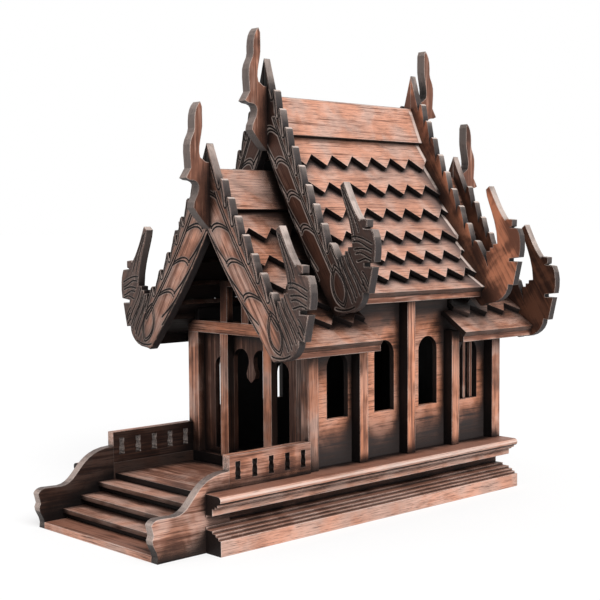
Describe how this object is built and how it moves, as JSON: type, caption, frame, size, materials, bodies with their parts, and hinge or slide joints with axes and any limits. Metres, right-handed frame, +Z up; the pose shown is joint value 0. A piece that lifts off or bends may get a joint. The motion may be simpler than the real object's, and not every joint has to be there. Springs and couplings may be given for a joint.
{
  "type": "spirit house model",
  "caption": "Carved wooden spirit house model: a porch hall on a waisted base with a stair, under three stepped gable roofs with finned bargeboards and horn finials.",
  "frame": {"origin": "on the ground in the middle of the object's footprint", "axes": "+Z up, +Y towards the rear wall, +X towards the right side as seen from the front"},
  "size_m": [0.2616, 0.4654, 0.4125],
  "materials": {
    "wood": "satin stained hardwood with worn edges",
    "dark_wood": "satin dark stained hardwood"
  },
  "bodies": {
    "root": {"base_moulding_left": "wood", "base_moulding_right": "wood", "base_core_left": "dark_wood", "base_core_right": "dark_wood", "rear_plinth": "wood", "hall_floor": "wood", "porch_floor": "wood", "stair_plate": "wood", "stair_treads": "wood", "stair_risers": "dark_wood", "stair_cheek_left": "wood", "stair_cheek_right": "wood", "balustrade_left": "wood", "balustrade_right": "wood", "corner_posts": "wood", "side_posts_left": "wood", "side_posts_right": "wood", "front_posts": "wood", "rear_posts": "wood", "left_wall": "wood", "right_wall": "wood", "front_wall": "dark_wood", "rear_wall": "dark_wood", "front_tie_beam": "wood", "rear_tie_beam": "wood", "front_gable_frame": "wood", "rear_gable_frame": "wood", "main_roof_left": "wood", "main_roof_right": "wood", "front_roof_left": "wood", "front_roof_right": "wood", "rear_roof_left": "wood", "rear_roof_right": "wood", "main_fascias": "wood", "front_fascias": "wood", "rear_fascias": "wood", "main_front_bargeboard_left": "dark_wood", "main_front_bargeboard_right": "dark_wood", "main_rear_bargeboard_left": "dark_wood", "main_rear_bargeboard_right": "dark_wood", "low_front_bargeboard_left": "dark_wood", "low_front_bargeboard_right": "dark_wood", "low_rear_bargeboard_left": "dark_wood", "low_rear_bargeboard_right": "dark_wood", "main_finials": "dark_wood", "low_finials": "dark_wood"}
  },
  "joints": []
}
